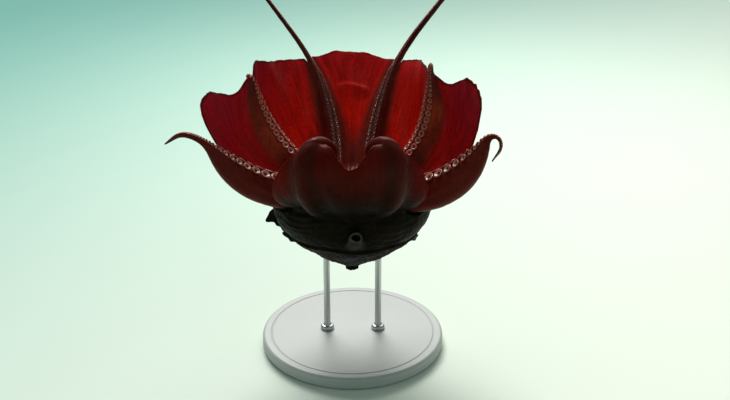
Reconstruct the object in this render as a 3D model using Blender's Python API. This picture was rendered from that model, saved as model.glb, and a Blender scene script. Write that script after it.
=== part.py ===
"""An octopus held as it swims, mantle down and arms up, as a life-size still model on a stand."""

import math
from collections import namedtuple

import bmesh
import bpy
import numpy as np

# Sizes are in metres and angles in degrees. +Z is up, +Y is the animal's back and -Y its underside.
# Azimuths turn from +Y towards +X, which is the animal's left.
MOUTH = np.array([0.0, 0.0, 0.160])
RING = 0.033  # circle round the mouth on which the arms start
GAP = 0.0003  # clearance between touching pieces

HEAD_WIDTH = 0.142
HEAD_DEPTH = 0.112
WIDEST = -0.018  # heights from here on are measured from the mouth
NECK = -0.042
MANTLE_TIP = -0.080
TAPER = 1.75  # how full the body stays below its widest girth
MOUTH_RISE = 0.004
SHOULDER_EDGE = 0.98  # share of the head's girth at which its shoulders turn down
SHOULDER_STEP = 12  # step along each arm at which its bearing over the head is taken
ARM_CLEARANCE = 0.0015  # between the head and the arms that lie on it
COLLAR = 0.0018  # how far the mantle's open edge stands out at the neck
WHIP_TAPER = 0.7  # below 1, an arm's whip stays full almost to its end

EYE_RADIUS = 0.0095
EYE_AZIMUTH = 68
EYE_HEIGHT = -0.025
EYE_SUNK = 0.0045
EYE_MOUND = 0.0035
EYE_MOUND_SPREAD = 0.016

WEB_THICK = 0.0016
WEB_START = 0.012
WEB_BULGE = 0.10
WEB_CLEARANCE = 0.0005
WEB_LOW = 0.2  # how far below the arm's axis the web is joined, in radii

FUNNEL_FOOT = MOUTH + [0.002, -0.041, -0.045]
FUNNEL_TIP = MOUTH + [0.004, -0.066, -0.016]
FRINGE_THICK = 0.0012
FRINGE_ROWS = 15

BASE_RADIUS = 0.085
BASE_HEIGHT = 0.012
BASE_BEVEL = 0.001
ROD_RADIUS = 0.003
ROD_BEVEL = 0.0005
ROD_SPREAD = 0.024
ROD_FORWARD = 0.004
ROD_TOP = 0.098

STEPS = 240  # steps in which an arm's axis is laid out
FIRST_PART = 0.30  # shares of an arm's length at which it is divided
SECOND_PART = 0.60
HEAD_COLUMNS = 36
MANTLE_COLUMNS = 32

ARM_RED = (0.16, 0.03, 0.02)
WEB_RED = (0.32, 0.03, 0.02)
DARK = (0.03, 0.035, 0.02)
BLACK = (0.02, 0.02, 0.02)
PALE = (0.60, 0.60, 0.58)
STEEL = (0.50, 0.50, 0.50)

# lift: first angle above the level. rise: what the arm adds to it by rise_end, a share of its length.
# sway: the turn sideways over the same stretch. curl and swing: the same two angles for the free tip,
# from curl_at to curl_end. knee: where the stout part has thinned to the whip.
Arm = namedtuple(
    "Arm",
    "name azimuth length base whip knee lift rise rise_end turn sway curl swing curl_at curl_end",
)

ARMS = (
    Arm("arm_right_4", -157.5, 0.158, 0.0103, 0.0032, 0.88, 10, 72, 0.52, 6, 8, 240, 50, 0.43, 0.98),
    Arm("arm_right_3", -112.5, 0.173, 0.0145, 0.0060, 0.71, 7, 52.5, 0.738, 9, 6.5, -94, 55, 0.583, 0.90),
    Arm("arm_right_2", -67.5, 0.172, 0.0098, 0.0017, 0.78, 26, 75, 0.90, 7, -13, -225, 110, 0.655, 0.78),
    Arm("arm_right_1", -22.5, 0.288, 0.0078, 0.0030, 0.44, 38, 12, 0.32, 18, -21, -4, -34, 0.24, 0.56),
    Arm("arm_left_1", 22.5, 0.288, 0.0078, 0.0042, 0.44, 38, 8, 0.34, -13, 14, -2, 37, 0.24, 0.62),
    Arm("arm_left_2", 67.5, 0.176, 0.0098, 0.0017, 0.75, 28, 75, 0.70, -5, -27, -240, -107, 0.660, 0.80),
    Arm("arm_left_3", 112.5, 0.1665, 0.0147, 0.0034, 0.78, 8, 63.5, 0.807, 6, -31, -208, 79, 0.669, 0.877),
    Arm("arm_left_4", 157.5, 0.158, 0.0103, 0.0032, 0.88, 10, 72, 0.52, -6, -8, 240, -50, 0.43, 0.98),
)

# Each panel of web runs from its first arm to its second one. reach: how far out it is joined to each
# of them. lobes: what lengthens or shortens it between them, as place, width and amount. columns and
# rows: how finely it is divided. crowd: how much closer its columns are at the second arm.
Panel = namedtuple("Panel", "name first second reach lobes columns rows crowd")

BACK_LOBES = ((0.48, 0.32, 0.017),)
RIGHT_12_LOBES = ((0.85, 0.20, 0.008), (0.45, 0.35, 0.005))
LEFT_12_LOBES = ((0.50, 0.40, 0.007),)
RIGHT_23_LOBES = ((0.20, 0.16, -0.008), (0.62, 0.20, 0.014), (1.00, 0.15, -0.080))
LEFT_23_LOBES = ((0.15, 0.12, -0.004), (0.52, 0.20, 0.018), (0.82, 0.08, -0.019), (1.00, 0.17, -0.088))
SHORT_LOBES = ((0.40, 0.20, -0.004),)
FRONT_LOBES = ((0.50, 0.30, -0.024),)

PANELS = (
    Panel("web_back", "arm_right_1", "arm_left_1", (0.121, 0.121), BACK_LOBES, 11, 9, 1.0),
    Panel("web_right_12", "arm_right_1", "arm_right_2", (0.121, 0.125), RIGHT_12_LOBES, 11, 9, 1.0),
    Panel("web_left_12", "arm_left_1", "arm_left_2", (0.121, 0.118), LEFT_12_LOBES, 11, 9, 1.0),
    Panel("web_right_23", "arm_right_2", "arm_right_3", (0.125, 0.130), RIGHT_23_LOBES, 11, 9, 1.6),
    Panel("web_left_23", "arm_left_2", "arm_left_3", (0.118, 0.132), LEFT_23_LOBES, 11, 9, 1.6),
    Panel("web_right_34", "arm_right_3", "arm_right_4", (0.026, 0.092), SHORT_LOBES, 9, 7, 1.0),
    Panel("web_left_34", "arm_left_3", "arm_left_4", (0.026, 0.092), SHORT_LOBES, 9, 7, 1.0),
    Panel("web_front", "arm_left_4", "arm_right_4", (0.106, 0.106), FRONT_LOBES, 9, 9, 1.0),
)

Axis = namedtuple("Axis", "distance point forward side oral radius")


def ease(x):
    x = np.clip(x, 0, 1)
    return x * x * (3 - 2 * x)


def thickness(arm, share):
    """Radius of an arm: stout as far as the knee, then a slender whip."""
    stout = 1 - ease((share / arm.knee) ** 3)
    swelling = 1 + 0.14 * np.sin(math.pi * np.clip(share / arm.knee, 0, 1))
    return 0.0005 + arm.whip * (1 - share) ** WHIP_TAPER + (arm.base - arm.whip) * stout * swelling


def line_of(arm, curled=True):
    """The arm's axis, with its side and sucker directions, laid out from how its heading changes."""
    share = np.linspace(0, 1, STEPS + 1)
    bend = ease(share / arm.rise_end)
    tip = ease((share - arm.curl_at) / (arm.curl_end - arm.curl_at)) * curled
    up = np.radians(arm.lift + arm.rise * bend + arm.curl * tip)
    turn = np.radians(arm.azimuth + arm.turn + arm.sway * bend + arm.swing * tip)
    forward = np.stack([np.cos(up) * np.sin(turn), np.cos(up) * np.cos(turn), np.sin(up)], 1)
    side = np.stack([np.cos(turn), -np.sin(turn), 0 * turn], 1)
    oral = np.stack([-np.sin(up) * np.sin(turn), -np.sin(up) * np.cos(turn), np.cos(up)], 1)
    step = (forward[1:] + forward[:-1]) * arm.length / STEPS / 2
    start = math.radians(arm.azimuth)
    root = MOUTH + RING * np.array([math.sin(start), math.cos(start), 0])
    point = np.vstack([root, root + np.cumsum(step, 0)])
    return Axis(share * arm.length, point, forward, side, oral, thickness(arm, share))


def at(axis, distance):
    """The axis read at other distances along it."""
    def read(values):
        return np.stack([np.interp(distance, axis.distance, values[:, k]) for k in range(3)], -1)

    radius = np.interp(distance, axis.distance, axis.radius)
    return Axis(distance, read(axis.point), read(axis.forward), read(axis.side), read(axis.oral), radius)


LINES = {arm.name: line_of(arm) for arm in ARMS}

# The web follows an arm's own line, but not where the arm's tip curls back away from it.
RIBS = {arm.name: line_of(arm, curled=arm.curl > -60) for arm in ARMS}


def solid(name, points, faces, colour, roughness=0.4):
    mesh = bpy.data.meshes.new(name)
    mesh.from_pydata([tuple(map(float, p)) for p in points], [], faces)
    shaper = bmesh.new()
    shaper.from_mesh(mesh)
    bmesh.ops.recalc_face_normals(shaper, faces=shaper.faces)
    shaper.to_mesh(mesh)
    shaper.free()
    mesh.shade_smooth()
    mesh.set_sharp_from_angle(angle=math.radians(40))
    part = bpy.data.objects.new(name, mesh)
    bpy.context.scene.collection.objects.link(part)
    material = bpy.data.materials.new(name)
    material.use_nodes = True
    shader = material.node_tree.nodes["Principled BSDF"]
    shader.inputs["Base Color"].default_value = (*colour, 1)
    shader.inputs["Roughness"].default_value = roughness
    mesh.materials.append(material)
    return part


def rings(rows):
    """Points and faces of a closed body whose rows are rings, with a flat face at each end."""
    count = len(rows[0])
    faces = [tuple(reversed(range(count)))]
    for r in range(len(rows) - 1):
        for k in range(count):
            a = r * count + k
            b = r * count + (k + 1) % count
            faces.append((a, b, b + count, a + count))
    last = (len(rows) - 1) * count
    faces.append(tuple(range(last, last + count)))
    return np.concatenate(rows), faces


def round_the(count):
    """Angles round a circle, in radians."""
    return 2 * math.pi * np.arange(count) / count


def arm_length(arm, name, start, end, rows, sides):
    """One length of an arm, from start to end along it."""
    axis = at(LINES[arm.name], np.linspace(start, end, rows))
    angle = round_the(sides)
    loops = []
    for k in range(rows):
        across = np.outer(np.sin(angle), axis.side[k])
        deep = np.outer(np.cos(angle), axis.oral[k])
        loops.append(axis.point[k] + axis.radius[k] * (across - deep))
    return solid(name, *rings(loops), ARM_RED)


def margin(panel, t):
    """How far from the ring the web's edge lies."""
    reach = panel.reach[0] + (panel.reach[1] - panel.reach[0]) * t
    for place, width, amount in panel.lobes:
        reach = reach + amount * np.exp(-(((t - place) / width) ** 2))
    return reach


def join_line(axis, way):
    """Where the web is joined to the side of an arm."""
    out = (axis.radius + WEB_CLEARANCE)[..., None]
    return axis.point + way * axis.side * out - WEB_LOW * axis.oral * axis.radius[..., None]


def web_sheet(panel, t, share):
    """Points midway through the web, at t across it and at a share of its reach."""
    azimuths = {arm.name: arm.azimuth for arm in ARMS}
    turn = (azimuths[panel.second] - azimuths[panel.first] + 180) % 360 - 180
    way = math.copysign(1, turn)
    distance = WEB_START + (margin(panel, t) - WEB_START) * share
    first = at(RIBS[panel.first], distance)
    second = at(RIBS[panel.second], distance)
    start = join_line(first, way)
    end = join_line(second, -way)
    chord = np.linalg.norm(end - start, axis=-1)
    out = -(first.oral + second.oral)
    out = out / np.linalg.norm(out, axis=-1)[..., None]
    swell = WEB_BULGE * chord * 4 * t * (1 - t)
    return start * (1 - t)[..., None] + end * t[..., None] + out * swell[..., None]


def border(columns, rows):
    """The points round the edge of a grid, in order."""
    edge = [c * rows for c in range(columns)]
    edge += [(columns - 1) * rows + r for r in range(1, rows)]
    edge += [c * rows + rows - 1 for c in range(columns - 2, -1, -1)]
    edge += list(range(rows - 2, 0, -1))
    return edge


def web_panel(panel):
    """A sheet of web with an even thickness."""
    columns = panel.columns
    rows = panel.rows
    across = 1 - (1 - np.linspace(0, 1, columns)) ** panel.crowd
    t, share = np.meshgrid(across, np.linspace(0, 1, rows), indexing="ij")
    middle = web_sheet(panel, t, share)
    normal = np.cross(np.gradient(middle, axis=0), np.gradient(middle, axis=1))
    normal /= np.linalg.norm(normal, axis=-1)[..., None]
    half = WEB_THICK / 2
    upper = (middle + half * normal).reshape(-1, 3)
    lower = (middle - half * normal).reshape(-1, 3)
    under = columns * rows
    faces = []
    for c in range(columns - 1):
        for r in range(rows - 1):
            a = c * rows + r
            faces.append((a, a + rows, a + rows + 1, a + 1))
            faces.append((under + a, under + a + 1, under + a + rows + 1, under + a + rows))
    edge = border(columns, rows)
    for a, b in zip(edge, edge[1:] + edge[:1]):
        faces.append((b, a, under + a, under + b))
    return solid(panel.name, np.concatenate([upper, lower]), faces, WEB_RED)


def girth(height):
    """Half the body's width at a height from the mouth, below the widest girth."""
    down = np.clip((WIDEST - height) / (WIDEST - MANTLE_TIP), 0, 1)
    return HEAD_WIDTH / 2 * (1 - down**TAPER)


def collar(height):
    """How far the mantle stands out beyond the head at its open edge."""
    return COLLAR * ease((height - NECK + 0.008) / 0.008)


def around(width, height, azimuth):
    """A point of an oval girth."""
    depth = width * HEAD_DEPTH / HEAD_WIDTH
    return MOUTH + np.array([width * math.sin(azimuth), depth * math.cos(azimuth), height])


def eye_centre(way):
    azimuth = way * math.radians(EYE_AZIMUTH)
    return around(girth(EYE_HEIGHT) - EYE_SUNK + EYE_MOUND, EYE_HEIGHT, azimuth)


def mound(point, out):
    """Lifts the head's skin round each eye."""
    for way in (-1, 1):
        near = np.linalg.norm(point - eye_centre(way)) / EYE_MOUND_SPREAD
        point = point + out * EYE_MOUND * math.exp(-near * near)
    return point


def under_arm(arm, inset):
    """Bearing of an arm, and points beneath it: by the mouth, at the root, and out to the head's edge."""
    axis = LINES[arm.name]
    drop = axis.radius + ARM_CLEARANCE - inset
    below = axis.point - axis.oral * drop[:, None]
    out = np.hypot(below[:, 0], below[:, 1])
    bearing = math.atan2(*axis.point[SHOULDER_STEP, :2])
    girdle = around(HEAD_WIDTH / 2, 0, bearing) - MOUTH
    edge = np.hypot(girdle[0], girdle[1]) * SHOULDER_EDGE + inset
    last = int(np.argmax(out > edge))
    askew = axis.radius[0] * abs(math.sin(math.radians(arm.turn)))
    back = axis.point[0] - axis.forward[0] * (2 * GAP + askew - inset)
    upper = back + axis.oral[0] * axis.radius[0] * 0.7
    lower = back - axis.oral[0] * drop[0]
    row = [upper, lower, below[last // 2], below[last]]
    return bearing, [(np.hypot(p[0], p[1]), p[2] - MOUTH[2]) for p in row]


def shoulder(azimuth, inset):
    """Distance out and height of the points beneath the arms, at any azimuth."""
    found = sorted(under_arm(arm, inset) for arm in ARMS)
    bearings = [bearing for bearing, row in found]
    values = np.array([row for bearing, row in found])
    turn = 2 * math.pi
    return [[np.interp(azimuth, bearings, values[:, k, i], period=turn) for i in (0, 1)] for k in range(4)]


def head(name, inset=0.0):
    """The head: a boss round the mouth, shoulders under the arms, and sides down to the neck."""
    heights = np.linspace(WIDEST, NECK, 6)
    drops = [0] * 5 + [inset]
    loops = [[] for _ in range(5 + len(heights))]
    for azimuth in round_the(HEAD_COLUMNS) - math.pi:
        ring = shoulder(azimuth, inset)
        flat = np.array([math.sin(azimuth), math.cos(azimuth), 0])
        loops[0].append(MOUTH + flat * ring[0][0] * 0.5 + [0, 0, MOUTH_RISE + inset])
        for loop, (out, height) in zip(loops[1:5], ring):
            loop.append(MOUTH + flat * out + [0, 0, height])
        for loop, height, drop in zip(loops[5:], heights, drops):
            side = around(girth(height) + inset, height - drop, azimuth)
            loop.append(mound(side, flat))
    return solid(name, *rings([np.array(loop) for loop in reversed(loops)]), DARK)


def mantle(name, inset=0.0):
    """The mantle: a sac from the neck down to its small pointed tip."""
    heights = np.linspace(NECK - GAP, MANTLE_TIP + 0.002, 11)
    levels = [(height, girth(height) + collar(height) + inset) for height in heights]
    levels.append((MANTLE_TIP - 0.001 - inset, 0.0012 + inset))
    if inset:
        levels.insert(0, (heights[0] + inset, levels[0][1]))
    turns = round_the(MANTLE_COLUMNS)
    loops = [np.array([around(width, height, turn) for turn in turns]) for height, width in levels]
    return solid(name, *rings(loops), DARK)


def ball(name, centre, radius, columns=14, rows=8):
    turn = round_the(columns)
    loops = []
    for down in math.pi * np.arange(1, rows) / rows:
        wide = radius * math.sin(down)
        ring = np.stack([wide * np.cos(turn), wide * np.sin(turn), 0 * turn + radius * math.cos(down)], 1)
        loops.append(centre + ring)
    return solid(name, *rings(loops[::-1]), BLACK, 0.2)


def cut(part, cutter):
    """Takes the cutter out of a part and removes the cutter."""
    modifier = part.modifiers.new("cut", "BOOLEAN")
    modifier.operation = "DIFFERENCE"
    modifier.solver = "EXACT"
    modifier.object = cutter
    bpy.context.view_layer.update()
    shaped = bpy.data.meshes.new_from_object(part.evaluated_get(bpy.context.evaluated_depsgraph_get()))
    part.modifiers.clear()
    part.data = shaped
    bpy.data.objects.remove(cutter)


def funnel():
    """The siphon: a soft cone up the underside of the head, open at its tip."""
    length = np.linalg.norm(FUNNEL_TIP - FUNNEL_FOOT)
    forward = (FUNNEL_TIP - FUNNEL_FOOT) / length
    side = np.cross(forward, [0, 1, 0])
    side /= np.linalg.norm(side)
    front = np.cross(side, forward)
    turn = round_the(16)
    loops = []
    for along, wide in ((0, 0.0090), (0.4, 0.0085), (0.75, 0.0072), (1, 0.0062), (1, 0.0042), (0.8, 0.0034)):
        centre = FUNNEL_FOOT + forward * length * along
        loops.append(centre + wide * (np.outer(np.cos(turn), side) + np.outer(np.sin(turn), front) * 0.9))
    part = solid("funnel", *rings(loops), DARK)
    cut(part, head("cutter", GAP))
    cut(part, mantle("cutter", GAP))


def fringe(name, way, top, bottom, width, waves):
    """A thin wavy flap of skin down one side of the body."""
    half = FRINGE_THICK / 2
    loops = []
    for share in np.linspace(0, 1, FRINGE_ROWS):
        height = top + (bottom - top) * share
        root = girth(height) + collar(height) * (height < NECK + 0.0035) + 0.0010
        slope = (girth(height + 0.001) - girth(height - 0.001)) / 0.002
        wave = waves * share * 2 * math.pi
        full = 0.25 + 0.75 * math.sin(math.pi * share**0.6) ** 0.7
        wide = width * full * (1 + 0.25 * math.sin(wave))
        lift = 0.0012 * math.sin(wave + 1)
        inner = np.array([root, height])
        outer = inner + np.array([1, -slope]) / math.hypot(1, slope) * wide
        loop = [
            MOUTH + [way * inner[0], -half, inner[1]],
            MOUTH + [way * inner[0], half, inner[1]],
            MOUTH + [way * outer[0], lift + half, outer[1]],
            MOUTH + [way * outer[0], lift - half, outer[1]],
        ]
        loops.append(np.array(loop))
    return solid(name, *rings(loops), DARK)


def post(name, x, y, low, high, radius, sides, bevel, colour):
    """An upright round bar or disc, with its upper edge bevelled."""
    turn = round_the(sides)
    loops = []
    for height, wide in ((low, radius), (high - bevel, radius), (high, radius - bevel)):
        loops.append(np.stack([x + wide * np.cos(turn), y + wide * np.sin(turn), 0 * turn + height], 1))
    return solid(name, *rings(loops), colour, 0.3)


for thing in list(bpy.data.objects):
    bpy.data.objects.remove(thing)

for arm in ARMS:
    first = FIRST_PART * arm.length
    second = SECOND_PART * arm.length
    arm_length(arm, arm.name + "_base", 0, first, rows=7, sides=12)
    arm_length(arm, arm.name + "_middle", first + GAP, second, rows=6, sides=12)
    arm_length(arm, arm.name + "_tip", second + GAP, arm.length, rows=13, sides=8)

for panel in PANELS:
    web_panel(panel)

skull = head("head")
mantle("mantle")
for way, name in ((1, "eye_left"), (-1, "eye_right")):
    cut(skull, ball("socket", eye_centre(way), EYE_RADIUS + GAP))
    ball(name, eye_centre(way), EYE_RADIUS)

funnel()
fringe("fringe_right", -1, top=-0.025, bottom=-0.064, width=0.006, waves=2.5)
fringe("fringe_left", 1, top=-0.043, bottom=-0.057, width=0.005, waves=1.0)

post("stand_base", 0, 0, 0, BASE_HEIGHT, BASE_RADIUS, 40, BASE_BEVEL, PALE)
for way, name in ((1, "stand_rod_left"), (-1, "stand_rod_right")):
    x = way * ROD_SPREAD
    rod = post(name, x, ROD_FORWARD, BASE_HEIGHT + GAP, ROD_TOP, ROD_RADIUS, 16, ROD_BEVEL, STEEL)
    cut(rod, mantle("cutter", GAP))
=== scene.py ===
"""The looks of the still octopus: one moist skin over the whole animal, with suckers, eyes and stand."""

import math
from collections import namedtuple

import bmesh
import bpy
import numpy as np
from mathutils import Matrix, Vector, noise


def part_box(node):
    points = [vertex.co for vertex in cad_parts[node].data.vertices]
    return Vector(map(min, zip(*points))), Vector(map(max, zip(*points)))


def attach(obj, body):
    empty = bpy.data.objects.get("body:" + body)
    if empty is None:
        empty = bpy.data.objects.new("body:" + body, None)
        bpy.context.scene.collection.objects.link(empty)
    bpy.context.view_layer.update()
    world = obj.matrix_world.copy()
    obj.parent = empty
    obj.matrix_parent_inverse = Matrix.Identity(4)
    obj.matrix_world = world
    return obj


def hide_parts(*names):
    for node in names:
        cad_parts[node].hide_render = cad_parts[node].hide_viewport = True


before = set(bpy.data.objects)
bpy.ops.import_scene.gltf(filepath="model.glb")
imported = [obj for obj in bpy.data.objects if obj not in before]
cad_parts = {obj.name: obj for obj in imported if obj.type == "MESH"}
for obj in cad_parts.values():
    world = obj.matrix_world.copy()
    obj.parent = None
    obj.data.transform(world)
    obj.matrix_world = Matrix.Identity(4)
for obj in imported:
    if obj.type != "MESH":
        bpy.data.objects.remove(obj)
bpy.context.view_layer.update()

# ==== The animal's plan: metres and degrees, +Z up, +Y its back, +X its left, azimuths from +Y to +X ====

MOUTH = np.array([0.0, 0.0, 0.160])
RING = 0.033  # circle round the mouth on which the arms start
HEAD_WIDTH = 0.142
HEAD_DEPTH = 0.112
WIDEST = -0.018  # heights from here on are measured from the mouth
NECK = -0.042
MANTLE_TIP = -0.080
TAPER = 1.75  # the larger, the fuller the body stays on its way down
COLLAR = 0.0018  # how far the mantle's open edge stands out from the neck
WHIP_TAPER = 0.7  # below 1, an arm's whip stays full almost to its end
TIP = 0.0005  # an arm's radius at its very tip
STEPS = 240  # along an arm's line

# lift: first angle above the level. rise: what the arm adds to it by rise_end, a share of its length.
# turn: how far its first heading lies from its azimuth. sway: the turn sideways over the same stretch.
# curl and swing: the same two angles for the free tip, from curl_at to curl_end. base and whip: radii of
# the stout part and of the slender one. knee: where the first has thinned to the second.
Arm = namedtuple(
    "Arm",
    "name azimuth length base whip knee lift rise rise_end turn sway curl swing curl_at curl_end",
)

ARMS = (
    Arm("right_4", -157.5, 0.158, 0.0103, 0.0032, 0.88, 10, 72, 0.52, 6, 8, 240, 50, 0.43, 0.98),
    Arm("right_3", -112.5, 0.173, 0.0145, 0.0060, 0.71, 7, 52.5, 0.738, 9, 6.5, -94, 55, 0.583, 0.90),
    Arm("right_2", -67.5, 0.172, 0.0098, 0.0017, 0.78, 26, 75, 0.90, 7, -13, -225, 110, 0.655, 0.78),
    Arm("right_1", -22.5, 0.288, 0.0078, 0.0030, 0.44, 38, 12, 0.32, 18, -21, -4, -34, 0.24, 0.56),
    Arm("left_1", 22.5, 0.288, 0.0078, 0.0042, 0.44, 38, 8, 0.34, -13, 14, -2, 37, 0.24, 0.62),
    Arm("left_2", 67.5, 0.176, 0.0098, 0.0017, 0.75, 28, 75, 0.70, -5, -27, -240, -107, 0.660, 0.80),
    Arm("left_3", 112.5, 0.1665, 0.0147, 0.0034, 0.78, 8, 63.5, 0.807, 6, -31, -208, 79, 0.669, 0.877),
    Arm("left_4", 157.5, 0.158, 0.0103, 0.0032, 0.88, 10, 72, 0.52, -6, -8, 240, -50, 0.43, 0.98),
)

# Each panel of web runs from the arm before it to the arm after it. reach: how far out it is joined to
# each. lobes: what lengthens or shortens it between them, as place, width and amount. crowd: how much
# closer its columns are at its far arm, or at its near arm where the number is negative. ragged: how
# torn its edge is there.
Panel = namedtuple("Panel", "name reach lobes columns crowd ragged")

PANELS = (
    Panel("right_34", (0.092, 0.026), ((0.60, 0.20, -0.004),), 24, 1.0, 0.0),
    Panel("right_23", (0.130, 0.125), ((0.00, 0.15, -0.080), (0.38, 0.20, 0.014), (0.80, 0.16, -0.008)),
          48, -1.5, 0.3),
    Panel("right_12", (0.125, 0.121), ((0.15, 0.20, 0.008), (0.55, 0.35, 0.005)), 38, 1.0, 0.0),
    Panel("back", (0.121, 0.121), ((0.48, 0.32, 0.017),), 40, 1.0, 0.0),
    Panel("left_12", (0.121, 0.118), ((0.50, 0.40, 0.007),), 38, 1.0, 0.0),
    Panel("left_23", (0.118, 0.132),
          ((0.15, 0.12, -0.004), (0.52, 0.20, 0.018), (0.82, 0.08, -0.019), (1.00, 0.17, -0.088)),
          48, 1.5, 1.0),
    Panel("left_34", (0.026, 0.092), ((0.40, 0.20, -0.004),), 24, 1.0, 0.0),
    Panel("front", (0.106, 0.106), ((0.50, 0.30, -0.024),), 32, 1.0, 0.0),
)

WEB_LOW = 0.2  # how far below an arm's axis the web is joined, in radii
WEB_BULGE = 0.10  # how far it swells outwards, as a share of its width
WEB_HALF = 0.0008  # half the web's thickness
ROOT_MORE = 0.0016  # what is added to that near the head
PLEAT_HIGH = 0.0013
SLACK_HIGH = 0.0010
CREST_HIGH = 0.0018  # a fold across the web at the back, and the hollow below it
HOLLOW_DEEP = 0.0012
WEB_GRIP = 0.118  # the web lets go of an arm no further out than this
WEB_FLARE = 0.004  # it thickens towards an arm over this width

Axis = namedtuple("Axis", "distance point forward side oral radius")


def ease(x):
    x = np.clip(x, 0, 1)
    return x * x * (3 - 2 * x)


def peak(x, place, width):
    """A smooth bump of height one."""
    return np.exp(-(((x - place) / width) ** 2))


def thickness(arm, share):
    """Radius of an arm: stout as far as the knee, then a slender whip."""
    stout = 1 - ease((share / arm.knee) ** 3)
    swelling = 1 + 0.14 * np.sin(math.pi * np.clip(share / arm.knee, 0, 1))
    return TIP + arm.whip * (1 - share) ** WHIP_TAPER + (arm.base - arm.whip) * stout * swelling


def line_of(arm, curled=True):
    """The arm's axis, with its side and sucker directions, laid out from how its heading changes."""
    share = np.linspace(0, 1, STEPS + 1)
    bend = ease(share / arm.rise_end)
    tip = ease((share - arm.curl_at) / (arm.curl_end - arm.curl_at)) * curled
    up = np.radians(arm.lift + arm.rise * bend + arm.curl * tip)
    turn = np.radians(arm.azimuth + arm.turn + arm.sway * bend + arm.swing * tip)
    forward = np.stack([np.cos(up) * np.sin(turn), np.cos(up) * np.cos(turn), np.sin(up)], 1)
    side = np.stack([np.cos(turn), -np.sin(turn), 0 * turn], 1)
    oral = np.stack([-np.sin(up) * np.sin(turn), -np.sin(up) * np.cos(turn), np.cos(up)], 1)
    step = (forward[1:] + forward[:-1]) * arm.length / STEPS / 2
    start = math.radians(arm.azimuth)
    root = MOUTH + RING * np.array([math.sin(start), math.cos(start), 0])
    point = np.vstack([root, root + np.cumsum(step, 0)])
    return Axis(share * arm.length, point, forward, side, oral, thickness(arm, share))


def at(axis, distance):
    """The axis at other distances along it."""
    def there(values):
        return np.stack([np.interp(distance, axis.distance, values[:, k]) for k in range(3)], -1)

    radius = np.interp(distance, axis.distance, axis.radius)
    return Axis(distance, there(axis.point), there(axis.forward), there(axis.side), there(axis.oral), radius)


LINES = [line_of(arm) for arm in ARMS]

# The web follows an arm's own line, but not where the arm's tip curls back away from it.
CURLS_BACK = -60
RIBS = [line_of(arm, curled=arm.curl > CURLS_BACK) for arm in ARMS]


def girth(height):
    """Half the body's width at a height from the mouth, below the widest girth."""
    down = np.clip((WIDEST - height) / (WIDEST - MANTLE_TIP), 0, 1)
    return HEAD_WIDTH / 2 * (1 - down**TAPER)


# ==== Surfaces of arms and web ====

ARM_COLUMNS = 17
WEB_JOIN = 78.7  # where the web is joined to an arm, in degrees round it from its outer side
WEB_ROOT = 12.0  # half the width of that join
OUTER_EDGE = WEB_JOIN - WEB_ROOT
INNER_EDGE = WEB_JOIN + WEB_ROOT
ORAL_FLAT = 0.86  # the sucker side is a little flattened
CAP = (1 / 3, 2 / 3)  # where the two rows of a web's rounded rim lie, from its outer side


def arm_surface(line, distance, angle):
    """Points of an arm's skin, at distances along it and angles round it from its outer side."""
    axis = at(line, distance)
    turn = np.radians(angle)
    deep = -np.cos(turn)
    deep = np.where(deep > 0, deep * ORAL_FLAT, deep)
    across = np.sin(turn)[..., None] * axis.side
    return axis.point + axis.radius[..., None] * (across + deep[..., None] * axis.oral)


def margin(panel, t):
    """How far from the ring the web's edge lies."""
    reach = panel.reach[0] + (panel.reach[1] - panel.reach[0]) * t
    for place, width, amount in panel.lobes:
        reach = reach + amount * peak(t, place, width)
    ruffle = 0.0004 * np.sin(41 * t + 1) + 0.0002 * np.sin(97 * t)
    torn = t if panel.crowd > 0 else 1 - t
    tear = 0.0020 * np.sin(83 * torn) * np.sin(37 * torn + 1) + 0.0012 * np.sin(151 * torn)
    tear = tear * peak(torn, 0.74, 0.16) - 0.0040 * ease((torn - 0.72) / 0.03)
    return reach + ruffle * np.sin(math.pi * t) + panel.ragged * tear


def fold(k, t, distance):
    """How far the web stands inwards of its plain shape: pleats towards its edge, and a fold at the back."""
    panel = PANELS[k]
    out = distance / 0.12
    pleats = PLEAT_HIGH * out**3 * np.sin(2 * math.pi * (2.5 * t + 0.17 * k) + 6 * out)
    slack = SLACK_HIGH * out**2 * np.sin(2 * math.pi * (1.3 * t + 0.31 * k))
    inwards = (pleats + slack) * np.sin(math.pi * t)
    if panel.name == "back":
        crest = 0.094 - 0.055 * (t - 0.46) ** 2
        window = ease((t - 0.08) / 0.2) * ease((0.9 - t) / 0.2)
        inwards = inwards + window * (CREST_HIGH * peak(distance, crest, 0.0035)
                                      - HOLLOW_DEEP * peak(distance, crest - 0.009, 0.005))
    return inwards


def web_middle(k, t, distance):
    """Points midway through the k-th panel of web."""
    low = at(RIBS[k], distance)
    high = at(RIBS[(k + 1) % len(ARMS)], distance)
    start = low.point + (low.side - WEB_LOW * low.oral) * low.radius[..., None]
    end = high.point - (high.side + WEB_LOW * high.oral) * high.radius[..., None]
    chord = np.linalg.norm(end - start, axis=-1)
    inside = low.oral + high.oral
    inside = inside / np.linalg.norm(inside, axis=-1)[..., None]
    swell = fold(k, t, distance) - WEB_BULGE * chord * 4 * t * (1 - t)
    middle = start * (1 - t)[..., None] + end * t[..., None] + inside * swell[..., None]
    from_arm = np.minimum(t, 1 - t) * chord
    return middle, from_arm, np.where(t < 0.5, low.radius, high.radius)


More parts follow.
